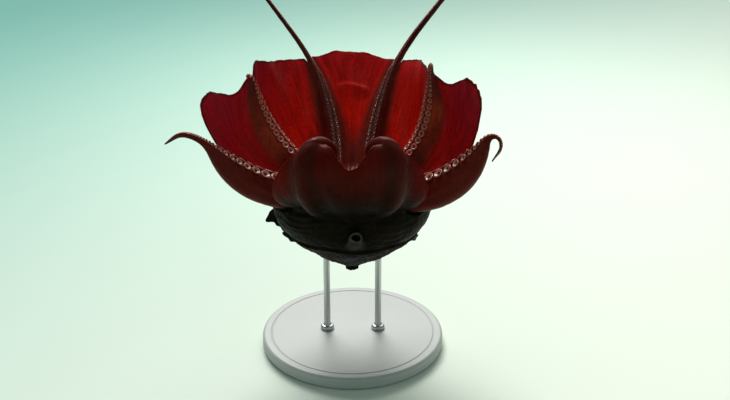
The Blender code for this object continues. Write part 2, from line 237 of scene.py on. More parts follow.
def web_surfaces(k, t, distance):
    """Outer and inner points of the k-th panel, and how far each is from an arm."""
    middle, from_arm, radius = web_middle(k, t, distance)
    normal = np.cross(np.gradient(middle, axis=1), np.gradient(middle, axis=0))
    normal /= np.linalg.norm(normal, axis=-1)[..., None]
    root = radius * math.sin(math.radians(WEB_ROOT))
    half = WEB_HALF + (root - WEB_HALF) * peak(from_arm, 0, WEB_FLARE)
    half = half + ROOT_MORE * ease((0.050 - distance) / 0.035)
    half = half[..., None]
    return middle - normal * half, middle + normal * half, from_arm


def spread(panel):
    """Where the web's columns stand between its two arms."""
    even = np.arange(1, panel.columns + 1) / (panel.columns + 1)
    if panel.crowd > 0:
        return 1 - (1 - even) ** panel.crowd
    return even**-panel.crowd


# Columns go round the animal by azimuth: an arm's, then those of the web after it, and so on.
Span = namedtuple("Span", "arm web angle t")


def lay_out():
    """The columns of each arm and of the web after it, and how many columns there are."""
    spans = []
    first = 0
    for panel in PANELS:
        arm = slice(first, first + ARM_COLUMNS)
        web = slice(arm.stop, arm.stop + panel.columns)
        spans.append(Span(arm, web, np.linspace(-1, 1, ARM_COLUMNS), spread(panel)))
        first = web.stop
    return spans, first


SPANS, COLUMNS = lay_out()

# A mark of each column: its arm's number, and how far it lies across the panel after that arm.
ACROSS = np.concatenate([np.append(k + 0 * span.angle, k + span.t) for k, span in enumerate(SPANS)])


def edge_reach():
    """How far out the web's edge lies in each column. Over an arm it runs from one side's to the other's."""
    reach = np.zeros(COLUMNS)
    for k, span in enumerate(SPANS):
        before = min(WEB_GRIP, margin(PANELS[k - 1], 1.0))
        after = min(WEB_GRIP, margin(PANELS[k], 0.0))
        reach[span.arm] = before + (after - before) * ease((span.angle + 1) / 2)
        reach[span.web] = margin(PANELS[k], span.t)
    return reach


def cup(distance):
    """Outer and inner skin of arms and web for rows of distances, and how far each point is from an arm."""
    outer = np.zeros(distance.shape + (3,))
    inner = np.zeros(distance.shape + (3,))
    from_arm = np.zeros(distance.shape)
    for k, span in enumerate(SPANS):
        d = distance[:, span.arm]
        outer[:, span.arm] = arm_surface(LINES[k], d, span.angle * OUTER_EDGE + 0 * d)
        inner[:, span.arm] = arm_surface(LINES[k], d, 180 - span.angle * (180 - INNER_EDGE) + 0 * d)
        d = distance[:, span.web]
        t = span.t + 0 * d
        outer[:, span.web], inner[:, span.web], from_arm[:, span.web] = web_surfaces(k, t, d)
    return outer, inner, from_arm


# ==== Nets of points ====

# What each point carries. reach: how far out it lies from the ring. web, oral, rim, body: how far it
# belongs to the web, to the inner side, to the web's edge, and to head and mantle, whose dark colour is
# also carried up the cup's outer side as painted shade. soft: how far it is relaxed. pale: how far it is
# painted pale, as a painted highlight on the funnel's lips and painted light through a thin flap. across: as
# in ACROSS.
MARKS = ("reach", "web", "oral", "rim", "body", "soft", "pale", "across")


class Net:
    """Points, their marks and faces, gathered patch by patch."""

    def __init__(self):
        self.points = []
        self.marks = []
        self.faces = []
        self.count = 0

    def add(self, points, **marks):
        """Adds points and returns their numbers, in the same arrangement."""
        points = np.asarray(points, float)
        shape = points.shape[:-1]
        total = int(np.prod(shape))
        self.points.append(points.reshape(-1, 3))
        row = [np.broadcast_to(marks.get(name, 0.0), shape).reshape(-1) for name in MARKS]
        self.marks.append(np.stack(row, 1))
        index = np.arange(self.count, self.count + total).reshape(shape)
        self.count += total
        return index

    def quads(self, index, closed=False, holes=()):
        """Faces of a grid of numbers, closed across its columns or not, leaving out the holes' faces."""
        if closed:
            index = np.concatenate([index, index[:, :1]], 1)
        corners = (index[:-1, :-1], index[:-1, 1:], index[1:, 1:], index[1:, :-1])
        kept = np.ones(corners[0].shape, bool)
        for rows, columns in holes:
            kept[rows, columns] = False
        self.faces += np.stack([c[kept] for c in corners], 1).tolist()

    def fan(self, ring, point, **marks):
        """Closes a ring of numbers on one point."""
        middle = int(self.add(np.array([point]), **marks)[0])
        following = np.roll(ring, -1)
        self.faces += [[int(a), int(b), middle] for a, b in zip(ring, following)]

    def mesh(self, name):
        """The net as a smooth mesh that carries its marks."""
        made = bpy.data.meshes.new(name)
        made.from_pydata(np.concatenate(self.points).tolist(), [], self.faces)
        marks = np.concatenate(self.marks)
        for k, mark in enumerate(MARKS):
            add_mark(made, mark, marks[:, k])
        turn_out(made)
        made.shade_smooth()
        return made


def turn_out(mesh):
    """Makes every face look outwards."""
    work = bmesh.new()
    work.from_mesh(mesh)
    bmesh.ops.recalc_face_normals(work, faces=work.faces)
    work.to_mesh(mesh)
    work.free()


def read(items, field, width=1, kind=np.float32):
    """One field of a mesh's items."""
    found = np.zeros(len(items) * width, kind)
    items.foreach_get(field, found)
    return found.reshape(-1, width) if width > 1 else found


def places(mesh):
    return read(mesh.vertices, "co", 3).astype(float)


def put_places(mesh, points):
    mesh.vertices.foreach_set("co", points.astype(np.float32).ravel())
    mesh.update()


def marked(mesh, name):
    return read(mesh.attributes[name].data, "value").astype(float)


def add_mark(mesh, name, values):
    layer = mesh.attributes.new(name, "FLOAT", "POINT")
    layer.data.foreach_set("value", np.asarray(values, np.float32))


def placed(name, data):
    """A new object in the scene, for a mesh, a lamp or a camera."""
    made = bpy.data.objects.new(name, data)
    bpy.context.scene.collection.objects.link(made)
    return made


def bands(base, rows, count):
    """Faces between rows of count points each, of which the first is point number base."""
    faces = []
    for row in range(rows - 1):
        for c in range(count):
            a = base + row * count + c
            b = base + row * count + (c + 1) % count
            faces.append((a, b, b + count, a + count))
    return faces


def relax(mesh, weight, rounds):
    """Moves points towards the middle of their neighbours, each by its weight."""
    points = places(mesh)
    a, b = read(mesh.edges, "vertices", 2, np.int32).T
    total = len(points)
    count = np.maximum(np.bincount(a, minlength=total) + np.bincount(b, minlength=total), 1)
    for _ in range(rounds):
        middle = np.stack([
            (np.bincount(a, points[b, k], total) + np.bincount(b, points[a, k], total)) / count
            for k in range(3)
        ], 1)
        points = points + weight[:, None] * (middle - points)
    put_places(mesh, points)


def round_columns(values, reach):
    """Evens out a value per column with its neighbours on both sides."""
    padded = np.concatenate([values[-reach:], values, values[:reach]])
    kernel = np.hanning(2 * reach + 3)[1:-1]
    return np.convolve(padded, kernel / kernel.sum(), "valid")


def spaced(turn):
    """Bearings of the columns, kept in order and no closer than about a third of the mean step."""
    mean = 2 * math.pi / len(turn)
    step = np.maximum(np.diff(np.append(turn, turn[0] + 2 * math.pi)), mean / 3)
    step = round_columns(step, 5)
    step *= 2 * math.pi / step.sum()
    even = np.concatenate([[0], np.cumsum(step)[:-1]])
    return even + (turn - even).mean()


def hermite(start, end, leave, arrive, share):
    """Rows of points from start to end that leave and arrive along given directions."""
    u = share[:, None, None]
    a = 2 * u**3 - 3 * u**2 + 1
    b = u**3 - 2 * u**2 + u
    c = -2 * u**3 + 3 * u**2
    d = u**3 - u**2
    return a * start + b * leave + c * end + d * arrive


def unit(vectors):
    return vectors / np.linalg.norm(vectors, axis=-1)[..., None]


# ==== The skin ====

BODY_ROWS = 104
SIDE_STEPS = 200  # down the body's outline, above its knob
NECK_ROWS = 19
CUP_ROWS = 92
SLOPE_ROWS = 26  # from the cup to the lips
PIT_ROWS = 10  # from the lips to the end of the mouth
HEAD_EDGE = 0.97  # share of the head's girth at which arms and web leave it
LEAVE_FAR = 0.075  # they leave it no further out than this
RING_TOP = -0.012  # the head's plain rows start no higher than this, from the mouth
MOUTH_EDGE = 0.010  # distance out at which the mouth's skin begins
LIP = 0.0085  # radius of the ring of lips, and how far it stands above the mouth
LIP_BULGE = 0.0016
PIT_DEEP = 0.0075  # from the lips down into the mouth
PIT_WIDE = 0.0006  # radius at its end
LIP_PLEATS = 20  # round the ring of lips
PLEAT_DEEP = 0.09  # their depth, as a share of its radius
NUB = 0.0056  # radius of the knob at the mantle's tip
RIM_WIDE = 0.0014  # width of the web's dark edge
ROW_LENGTH = 0.0011  # from row to row of the free arms


def bearing(points):
    """Azimuth about the body's axis, in radians."""
    return np.arctan2(points[..., 0], points[..., 1])


def body_profile():
    """Half widths and heights down the body's sides and round the small knob at the mantle's tip."""
    height = np.linspace(RING_TOP, MANTLE_TIP + 0.0022, SIDE_STEPS)
    width = girth(height)
    turn = np.radians(np.linspace(65, 180, 24))
    knob = np.stack([NUB * np.sin(turn), MANTLE_TIP + 0.0004 + 0.55 * NUB * np.cos(turn)], 1)
    return np.concatenate([np.stack([width, height], 1), knob[:-1]])


def collar(height, azimuth):
    """The mantle's open edge stands out from the neck, most of all on the underside."""
    under = 0.25 + 0.75 * ease(0.5 - 0.6 * np.cos(azimuth))
    dip = 0.0034 * peak(np.angle(np.exp(1j * (azimuth - math.pi))), 0, 0.24)
    height = height + dip + 0.0011 * np.sin(3 * azimuth + 1) + 0.0007 * np.sin(7 * azimuth) - 0.001
    lip = ease((NECK - height + 0.0006) / 0.0014) * (0.4 + 0.6 * ease((height - NECK + 0.016) / 0.016))
    groove = peak(height, NECK + 0.002, 0.0022)
    return COLLAR * under * (1.2 * lip - 0.6 * groove)


def body_rows(azimuth, height):
    """Rows of points from the head's upper edge, column by column, down to the mantle's tip."""
    profile = body_profile()
    length = np.concatenate([[0], np.cumsum(np.linalg.norm(np.diff(profile, axis=0), axis=1))])
    begin = np.interp(-height, -profile[:SIDE_STEPS, 1], length[:SIDE_STEPS])
    share = np.linspace(0, 1, BODY_ROWS + 1)[1:, None]
    along = begin + (length[-1] - begin) * share
    width = np.interp(along, length, profile[:, 0])
    level = np.interp(along, length, profile[:, 1])
    even = azimuth[0] + np.unwrap(np.arange(COLUMNS) * 2 * math.pi / COLUMNS)
    turn = azimuth + (even - azimuth) * ease(share)
    width = width + collar(level, turn) * ease(width / 0.02)
    creases = 0.10 * np.cos(9 * turn) * peak(width, 0.006, 0.006) * ease(width / 0.002)
    width = width * (1 + creases)
    depth = width * HEAD_DEPTH / HEAD_WIDTH
    points = np.stack([width * np.sin(turn), depth * np.cos(turn), level], -1)
    return MOUTH + points


def patch(points, azimuth, low, high, half):
    """Rows and columns of the head's skin between two heights, with half columns to each side."""
    below = slice(CUP_ROWS + NECK_ROWS // 2, None)
    off = np.abs(np.angle(np.exp(1j * (bearing(points[below]) - math.radians(azimuth)))))
    middle = int(np.argmin(off[len(off) // 3]))
    height = points[:, middle, 2] - MOUTH[2]
    rows = np.flatnonzero((height < high) & (height > low) & (np.arange(len(height)) >= below.start))
    return slice(rows[0], rows[-1]), slice(middle - half, middle + half)


def border(rows, columns):
    """Rows and columns of the points round a patch, in order."""
    down = np.arange(rows.start, rows.stop + 1)
    along = np.arange(columns.start, columns.stop + 1)
    r = np.concatenate([0 * along + down[0], down[1:], 0 * along[1:] + down[-1], down[-2:0:-1]])
    c = np.concatenate([along, 0 * down[1:] + along[-1], along[-2::-1], 0 * down[-2:0:-1] + along[0]])
    return r, c


FUNNEL_TIP = MOUTH + [0.004, -0.0665, -0.0165]
# Third number: how far a ring is painted pale, a painted highlight on the funnel's lips.
FUNNEL_RINGS = (  # share of the way out, radius, and how pale
    (0.12, 0.0086, 0.0), (0.28, 0.0082, 0.0), (0.44, 0.0077, 0.0), (0.60, 0.0071, 0.0),
    (0.74, 0.0065, 0.0), (0.86, 0.0060, 0.04), (0.94, 0.0058, 0.10), (0.99, 0.0055, 0.22),
    (1.01, 0.0049, 0.28), (1.00, 0.0043, 0.24), (0.95, 0.0039, 0.12), (0.84, 0.0036, 0.05),
    (0.68, 0.0032, 0.0), (0.50, 0.0028, 0.0), (0.35, 0.0022, 0.0),
)


def grow_funnel(net, index, points, rows, columns):
    """The funnel: a soft tube out of the underside, open at its tip, grown from the skin round its foot."""
    r, c = border(rows, columns)
    root = points[r, c]
    foot = root.mean(0) + [0, 0.002, 0]
    length = np.linalg.norm(FUNNEL_TIP - foot)
    forward = (FUNNEL_TIP - foot) / length
    side = unit(np.cross(forward, [0, 1.0, 0]))
    front = np.cross(side, forward)
    away = root - foot
    turn = np.unwrap(np.arctan2(away @ front, away @ side))
    even = turn[0] + np.arange(len(turn)) * (turn[-1] - turn[0] + turn[1] - turn[0]) / len(turn)
    last = index[r, c]
    rings = []
    for along, wide, pale in FUNNEL_RINGS:
        angle = turn + (even - turn) * min(1, 1.5 * along)
        lip = 1 + 0.05 * np.cos(3 * angle + 0.6) * along**4
        ring = foot + np.outer(length * along * (1 + 0.02 * np.cos(2 * angle)), forward)
        across = np.outer(np.cos(angle), side) + 0.80 * np.outer(np.sin(angle), front)
        ring = ring + (wide * lip)[:, None] * across
        share = float(ease(0.15 + along * 2.2 if not rings or along > 0.3 else along * 3.2))
        ring = root * (1 - share) + ring * share
        rings.append(net.add(ring, body=0.95, pale=pale, soft=0.8 * (len(rings) < 4)))
    net.quads(np.stack([last, *rings])[:, ::-1], closed=True)
    net.fan(rings[-1], points[r, c].mean(0) * 0.6 + FUNNEL_TIP * 0.4, body=1.0)


FRINGE_ROWS = 7  # from a fringe's root to its edge


def grow_fringe(net, index, points, rows, columns, width, waves, hook, pale):
    """A thin wavy flap of skin down one side of the body, grown from the skin at its root."""
    r, c = border(rows, columns)
    middle = columns.start + 1
    share = (r - rows.start) / (rows.stop - rows.start)
    root = points[r, c]
    line = points[r, middle]
    slope = unit(points[np.minimum(r + 2, rows.stop + 1), middle] - points[r - 2, middle])
    flat = unit((line - MOUTH) * [1, 1, 0])
    out = unit(flat - (flat * slope).sum(1)[:, None] * slope)
    thick = np.cross(slope, out)
    side = ((root - line) * thick).sum(1)
    side = np.sign(np.where(np.abs(side) < 1e-5, 0, side))
    wave = waves * share * 2 * math.pi
    full = (0.25 + 0.75 * np.sin(math.pi * share**0.6) ** 0.7) * (1 + 0.25 * np.sin(wave))
    full = full * (1 + 0.12 * np.sin(3.7 * wave + 1)) * ease(share / 0.04) * ease((1 - share) / 0.06)
    full = full + hook * peak(share, 0.10, 0.055)
    last = index[r, c]
    rings = []
    for k in range(1, FRINGE_ROWS + 1):
        u = k / FRINGE_ROWS
        half = 0.0009 * (1 - u) ** 1.5 + 0.00034
        outwards = out * (width * full * u)[:, None]
        spot = line + outwards + thick * (side * half)[:, None]
        bend = 0.0014 * np.sin(wave + 1) * u**1.4 + 0.0007 * np.sin(2.9 * wave) * u**2
        spot = spot + thick * bend[:, None]
        spot = spot + slope * (0.0012 * hook * u * peak(share, 0.12, 0.1))[:, None]
        own = float(ease(u * 2.2))
        spot = (root + outwards) * (1 - own) + spot * own
        # Painted light: with pale, the flap is painted paler towards its edge, as if light passed through it.
        rings.append(net.add(spot, body=0.95 - 0.25 * u, pale=pale * u**2, soft=0.4 * (k < 3)))
    net.quads(np.stack([last, *rings])[:, ::-1], closed=True)
    # A strip of faces and one at each end close the flap's edge.
    edge = rings[-1]
    tall = rows.stop - rows.start
    right = edge[2 : 2 + tall + 1]
    left = np.concatenate([edge[:1], edge[-1 : -tall : -1], [edge[tall + 4]]])
    for a in range(tall):
        net.faces.append([int(v) for v in (right[a], right[a + 1], left[a + 1], left[a])])
    net.faces.append([int(v) for v in (edge[0], edge[1], edge[2])])
    net.faces.append([int(v) for v in (edge[tall + 2], edge[tall + 3], edge[tall + 4])])


Eye = namedtuple("Eye", "name centre radius out level upright")


def eye_places():
    """Where each eye lies in the frame and which way it faces."""
    found = []
    for name in ("eye_left", "eye_right"):
        low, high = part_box(name)
        centre = np.array((low + high) / 2)
        radius = (high.z - low.z) / 2
        out = unit(np.array([centre[0] / HEAD_WIDTH**2, centre[1] / HEAD_DEPTH**2, 0.0]))
        level = np.array([-out[1], out[0], 0.0])
        found.append(Eye(name, centre, radius, out, level, np.cross(out, level)))
    return found


EYES = eye_places()
EYE_MOUND = 0.0035  # how far the skin is raised round an eye
EYE_MOUND_SPREAD = 0.016
LID_REACH = 0.0175  # skin further than this from an eye's middle isn't drawn to its lids
LID_WIDE = 0.0081  # half the width of the opening between the lids
LID_TALL = 0.0063  # half its height
# The lids, from behind their edge over it and out to the head's skin: how far from the eye's middle the
# skin was, how much further out than the edge it goes, how high above the edge, all in millimetres.
LID_PROFILE = (
    (0.0, -6.0, -4.5), (3.5, -1.0, -4.0), (5.6, 0.9, -2.6), (6.8, 0.25, -0.7), (7.6, 0.0, 0.15),
    (8.3, 0.35, 0.75), (9.0, 0.95, 0.95), (9.8, 1.75, 0.55), (10.5, 2.35, 0.10), (11.3, 3.2, -0.35),
    (12.2, 4.2, -1.05), (13.5, 6.2, -2.6), (15.0, 8.2, -4.0), (17.5, 11.0, -5.4),
)


def seat_eyes(points):
    """Raises the skin in a mound round each eye and folds it into lids that lie on the ball."""
    fine = np.linspace(0, 17.5, 176)  # every tenth of a millimetre
    table = np.array(LID_PROFILE)
    kernel = np.hanning(11)[1:-1]
    kernel /= kernel.sum()
    smooth = [
        np.convolve(np.pad(np.interp(fine, table[:, 0], table[:, k]), 4, "edge"), kernel, "valid")
        for k in (1, 2)
    ]
    near_lid = np.zeros(len(points))
    for eye in EYES:
        flat_out = unit((points - MOUTH) * [1, 1, 0] + [1e-9, 0, 0])
        near = np.linalg.norm(points - eye.centre, axis=1) / EYE_MOUND_SPREAD
        under = ease((MOUTH[2] - 0.002 - points[:, 2]) / 0.010)
        points = points + flat_out * (EYE_MOUND * np.exp(-near**2) * under)[:, None]
        away = points - eye.centre
        high = away @ eye.out
        flat = away - high[:, None] * eye.out
        wide = np.linalg.norm(flat, axis=1)
        turn = np.arctan2(flat @ eye.upright, flat @ eye.level)
        turn = turn + 0.10 * np.sin(2 * turn)
        opening = 1 / np.hypot(np.cos(turn) / LID_WIDE, np.sin(turn) / LID_TALL)
        edge = np.sqrt(eye.radius**2 - opening**2) + 0.0003
        new_wide = np.maximum(opening + np.interp(wide * 1000, fine, smooth[0]) / 1000, 0)
        new_high = edge + np.interp(wide * 1000, fine, smooth[1]) / 1000
        share = ease((LID_REACH - wide) / 0.0075) * (high > -0.008)
        new_high = np.where(wide < 0.012, new_high, np.maximum(new_high, high))
        direction = flat / np.maximum(wide, 1e-9)[:, None]
        wide = wide + (new_wide - wide) * share
        high = high + (new_high - high) * share
        points = eye.centre + direction * wide[:, None] + eye.out * high[:, None]
        near_lid = np.maximum(near_lid, share)
    return points, near_lid


def mouth_rows(last, leave):
    """Rows from the inner side's last row over the lips and down into the mouth."""
    turn = np.unwrap(bearing(last))
    even = turn[0] + np.arange(COLUMNS) * 2 * math.pi / COLUMNS
    inward = -np.stack([np.sin(even), np.cos(even), 0 * even], 1)
    pleats = np.cos(LIP_PLEATS * even)
    lip = MOUTH + [0, 0, LIP] - inward * (LIP * (1 + PLEAT_DEEP * pleats))[:, None]
    gap = np.linalg.norm(last - lip, axis=1)[:, None]
    share = np.linspace(0, 1, SLOPE_ROWS + 1)[1:]
    slope = hermite(last, lip, leave * gap, (inward + [0, 0, 0.25]) * gap * 0.7, share)
    rows = []
    for u in np.linspace(0, 1, PIT_ROWS + 1)[1:]:
        width = LIP * (1 - u) * (1 + PLEAT_DEEP * (1 - u) * pleats) + PIT_WIDE
        bulge = LIP_BULGE * math.sin(math.pi * min(1, u * 2.2))
        height = LIP + bulge - PIT_DEEP * float(ease((u - 0.35) / 0.6))
        rows.append(MOUTH + [0, 0, height] - inward * width[:, None])
    return np.concatenate([slope, np.array(rows)])


def softening():
    """How far each column is softened: fully at a seam of arm and web, less beside it."""
    weight = np.zeros(COLUMNS)
    for span in SPANS:
        weight[span.arm] = peak(np.abs(span.angle), 1, 0.30)
        column = np.arange(len(span.t))
        weight[span.web] = np.exp(-(np.minimum(column, column[::-1]) / 3.0) ** 2)
    return weight


def cup_side(side, begin, reach, eased):
    """Rows of one side of the cup, from the web's edge in, with their marks.

    side: 0 for the outer skin, 1 for the inner. begin: how far out the rows end. eased: how many rows
    are softened along the edge.
    """
    distance = begin + (reach - begin) * np.linspace(0, 1, CUP_ROWS)[:, None]
    *skins, from_arm = cup(distance)
    row = np.arange(CUP_ROWS)[:, None]
    seams = softening() * ease((CUP_ROWS - 1 - row) / 5)
    marks = {
        "reach": distance[::-1],
        "web": (1 - peak(from_arm, 0, WEB_FLARE))[::-1],
        "rim": (peak(reach - distance, 0, RIM_WIDE) * (from_arm > 0))[::-1],
        "soft": np.maximum(seams, ease((eased - row) / eased)),
    }
    return skins[side][::-1], marks


def extended(marks, count, **more):
    """The cup's marks with count more rows, which are nought where more doesn't say."""
    zeros = np.zeros((count, COLUMNS))
    return {name: np.concatenate([values, more.get(name, zeros)]) for name, values in marks.items()}


def leaving(reach):
    """How far out each column of the outer skin leaves the head."""
    probe = np.linspace(0, LEAVE_FAR, 76)[:, None] + np.zeros(COLUMNS)
    under = cup(probe)[0] - MOUTH
    ratio = np.hypot(under[..., 0] / HEAD_WIDTH * 2, under[..., 1] / HEAD_DEPTH * 2)
    found = probe[:, 0][np.argmax(ratio > HEAD_EDGE, 0)]
    return np.minimum(round_columns(found, 6), reach - 0.004)


def head_rows(last, before):
    """Rows from the cup's last outer row down the neck, the head and the mantle."""
    turn = spaced(np.unwrap(bearing(last)))
    top = round_columns(np.minimum(RING_TOP, last[:, 2] - MOUTH[2] - 0.005), 10)
    ring = MOUTH + np.stack([HEAD_WIDTH / 2 * np.sin(turn), HEAD_DEPTH / 2 * np.cos(turn), top], 1)
    gap = np.linalg.norm(last - ring, axis=1)[:, None]
    leave = unit(0.5 * unit(last - before) + [0, 0, -1]) * gap
    arrive = np.array([0, 0, -1.0]) * gap
    neck = hermite(last, ring, leave, arrive, np.linspace(0, 1, NECK_ROWS + 1)[1:])
    return np.concatenate([neck, body_rows(turn, top)])


def head_soft(count):
    """How far the rows below the cup are softened: fully at the neck, and less and less below it."""
    row = np.arange(count)[:, None]
    return np.where(row < NECK_ROWS + 2, 1.0, ease(1 - row / (NECK_ROWS + 10))) * np.ones(COLUMNS)


def front_shade_reach(facing, further):
    """How much of the head's dark colour spreads up the arms and the web as painted shade, most of it in
    front.
    """
    spread_out = 0.030 + 0.016 * ease(2.6 * facing - 1.2) + 0.030 * ease(12 * facing - 11)
    return np.exp(-np.maximum(further, 0) / spread_out)


def outer_side(net, reach):
    """The outer skin: the cup, the neck, the head and the mantle, with funnel and fringes grown from it."""
    begin = leaving(reach)
    rows, marks = cup_side(0, begin, reach, 14)
    low = head_rows(rows[-1], rows[-3])
    points = np.concatenate([rows, low])
    # Painted shade: the head's dark colour is carried up the cup's outer side, furthest in front.
    marks["body"] = front_shade_reach(-np.cos(bearing(rows[-1])), marks["reach"] - begin)
    marks = extended(marks, len(low), body=np.ones((len(low), COLUMNS)), soft=head_soft(len(low)))
    funnel = patch(points, 177.5, -0.0395, -0.0235, 9)
    right_fringe = patch(points, -90, -0.064, -0.0210, 1)
    left_fringe = patch(points, 90, -0.057, -0.0425, 1)
    roots = (funnel, right_fringe, left_fringe)
    for down, along in roots:
        marks["soft"][down.start - 2 : down.stop + 3, along.start - 2 : along.stop + 3] = 0.7
    index = net.add(points, across=ACROSS, **marks)
    net.quads(index[:, ::-1], closed=True, holes=[
        (down, slice(COLUMNS - 1 - along.stop, COLUMNS - 1 - along.start)) for down, along in roots
    ])
    grow_funnel(net, index, points, *funnel)
    grow_fringe(net, index, points, *right_fringe, width=0.0056, waves=2.5, hook=1.0, pale=0.0)
    # The left flap is painted pale at its edge, as painted light through it.
    grow_fringe(net, index, points, *left_fringe, width=0.0050, waves=1.0, hook=0.0, pale=0.55)
    net.fan(index[-1], points[-1].mean(0) - [0, 0, 0.0001], body=1.0)
    return points, index


def inner_side(net, reach):
    """The inner skin: the cup, the lips and the mouth."""
    rows, marks = cup_side(1, MOUTH_EDGE, reach, 10)
    mouth = mouth_rows(rows[-1], unit(rows[-1] - rows[-3]))
    points = np.concatenate([rows, mouth])
    fading = ease(1 - np.arange(len(mouth))[:, None] / 14) * np.ones(COLUMNS)
    index = net.add(points, oral=1.0, across=ACROSS, **extended(marks, len(mouth), soft=fading))
    net.quads(index, closed=True)
    net.fan(index[-1], points[-1].mean(0) - [0, 0, 0.0004], oral=1.0)
    return points, index


def web_rims(net, reach, outer, inner, out_edge, in_edge):
    """Two rows of each panel between its outer and its inner edge, rounded outwards."""
    caps = []
    for k, span in enumerate(SPANS):
        after = (k + 1) % len(ARMS)
        columns = [span.arm.stop - 1, *range(span.web.start, span.web.stop), SPANS[after].arm.start]
        a = outer[0, columns]
        b = inner[0, columns]
        away = unit(a - outer[3, columns])
        half = np.linalg.norm(a - b, axis=1)[:, None] / 2
        rows = []
        for u in CAP:
            row = a * (1 - u) + b * u + away * half * math.sin(math.pi * u) * 0.9
            angle = OUTER_EDGE + u * (INNER_EDGE - OUTER_EDGE)
            row[0] = arm_surface(LINES[k], reach[columns[0]], np.array(angle))
            row[-1] = arm_surface(LINES[after], reach[columns[-1]], np.array(-angle))
            rows.append(row)
        made = net.add(np.array(rows), reach=reach[columns], web=1.0, rim=1.0, oral=np.array(CAP)[:, None])
        caps.append(made)
        net.quads(np.stack([out_edge[columns], made[0], made[1], in_edge[columns]]))
    return caps


def free_arms(net, reach, out_edge, in_edge, caps):
    """The arms beyond the web, each closed at its tip."""
    for k, span in enumerate(SPANS):
        angle = np.concatenate([
            span.angle * OUTER_EDGE,
            [OUTER_EDGE + u * 2 * WEB_ROOT for u in CAP],
            180 - span.angle[::-1] * (180 - INNER_EDGE),
            [360 - OUTER_EDGE - u * 2 * WEB_ROOT for u in reversed(CAP)],
        ])
        near = reach[span.arm]
        begin = np.concatenate([near, [near[-1]] * 2, near[::-1], [near[0]] * 2])
        length = ARMS[k].length
        rows = int((length - near.mean()) / ROW_LENGTH)
        share = np.linspace(0, 1, rows + 1)[1:, None]
        distance = begin + (length - 0.0006 - begin) * share
        made = net.add(
            arm_surface(LINES[k], distance, angle + 0 * distance),
            reach=distance,
            oral=ease(0.5 - 1.4 * np.cos(np.radians(angle))),
            body=0.6 * np.exp(-distance / 0.05),
        )
        first = np.concatenate([
            out_edge[span.arm], caps[k][:, 0], in_edge[span.arm][::-1], caps[k - 1][::-1, -1]
        ])
        net.quads(np.concatenate([first[None], made]), closed=True)
        net.fan(made[-1], LINES[k].point[-1], reach=length)


def skin_net():
    """The whole skin as one closed net."""
    net = Net()
    reach = edge_reach()
    outer, out_index = outer_side(net, reach)
    inner, in_index = inner_side(net, reach)
    caps = web_rims(net, reach, outer, inner, out_index[0], in_index[0])
    free_arms(net, reach, out_index[0], in_index[0], caps)
    return net


EYE_RING_STEP = 0.0034  # from one ring of skin round an eye to the next
EYE_RING_HIGH = 0.00065
EYE_FANS = 17  # folds that fan out, if they went all the way round
EYE_FAN_HIGH = 0.0010
BROW_HIGH = 0.0024


def eye_folds(points):
    """How far the skin round each eye rises in rings, in folds fanning from its corners, and in a brow."""
    rise = np.zeros(len(points))
    for eye in EYES:
        away = points - eye.centre
        wide = np.linalg.norm(away - (away @ eye.out)[:, None] * eye.out, axis=1)
        turn = np.arctan2(away @ eye.upright, away @ eye.level)
        outside = away @ eye.out > -0.006
        rings = np.sin(2 * math.pi * wide / EYE_RING_STEP + 0.5 * np.sin(3 * turn))
        rings = EYE_RING_HIGH * rings * peak(wide, 0.0155, 0.0040)
        corner = peak(np.abs(np.cos(turn)), 1, 0.22)
        fan = EYE_FAN_HIGH * np.sin(EYE_FANS * turn + 90 * wide) * corner * peak(wide, 0.0165, 0.0060)
        brow = BROW_HIGH * peak(turn, 1.75, 0.75) * peak(wide, 0.0135, 0.0028)
        rise += (rings + fan + brow) * outside
    return rise


CREASE_DEEP = 0.00034
CREASE_STEP = 0.0066  # from one wrinkle round the head to the next
MANTLE_CREASES = 38  # along the mantle, counted round it


def body_creases(points, stray):
    """Broken wrinkles that run round the head below the arms and along the mantle."""
    low = points - MOUTH
    turn = bearing(low)
    level = low[:, 2] + 0.0022 * np.sin(3 * turn + 0.7) + 0.0060 * stray
    round_head = np.sin(2 * math.pi * level / CREASE_STEP) * ease(0.5 + 1.6 * stray)
    along = np.sin(MANTLE_CREASES * turn + 5 * stray) * ease(0.6 - 1.6 * stray)
    under = ease((NECK - 0.003 - low[:, 2]) / 0.006)
    return CREASE_DEEP * round_head * (1 - under) + CREASE_DEEP * along * under


LUMPS = 75  # to the metre, as are the next two
PIMPLES = 260
WANDERING = 34  # where the wrinkles stray and break off
LUMP_HIGH = 0.0010
PIMPLE_HIGH = 0.00035
ARM_PIMPLE_HIGH = 0.00012


def add_texture(mesh, share):
    """Lumps and wrinkles in the skin itself: strong on head and mantle, slight on arms and web."""
    points = places(mesh)
    out = read(mesh.vertex_normals, "vector", 3).astype(float)
    body = marked(mesh, "body")
    web = marked(mesh, "web")
    rise = np.zeros(len(points))
    stray = np.zeros(len(points))
    for i, place in enumerate(points):
        p = Vector(place)
        broad = noise.noise(p * LUMPS)
        fine = noise.noise(p * PIMPLES)
        stray[i] = noise.noise(p * WANDERING)
        rough = PIMPLE_HIGH * body[i] + ARM_PIMPLE_HIGH * (1 - web[i])
        rise[i] = broad * LUMP_HIGH * body[i] + fine * rough
    rise = rise * share + body**4 * (eye_folds(points) + body_creases(points, stray) * share)
    put_places(mesh, points + out * rise[:, None])


DENSE = 0.6  # no light passes through the skin of faces that are this much head or mantle


def build_skin():
    """The net as a mesh, with soft seams, lids and texture, and the dense finish on head and mantle."""
    mesh = skin_net().mesh("skin")
    relax(mesh, 0.5 * marked(mesh, "soft"), 14)
    points, near_lid = seat_eyes(places(mesh))
    put_places(mesh, points)
    add_texture(mesh, 1 - 0.85 * near_lid)
    corners = read(mesh.loops, "vertex_index", kind=np.int32)
    starts = read(mesh.polygons, "loop_start", kind=np.int32)
    dense = np.minimum.reduceat(marked(mesh, "body")[corners], starts) > DENSE
    mesh.polygons.foreach_set("material_index", dense.astype(np.int32))
    return placed("skin", mesh)


# ==== Suckers ====

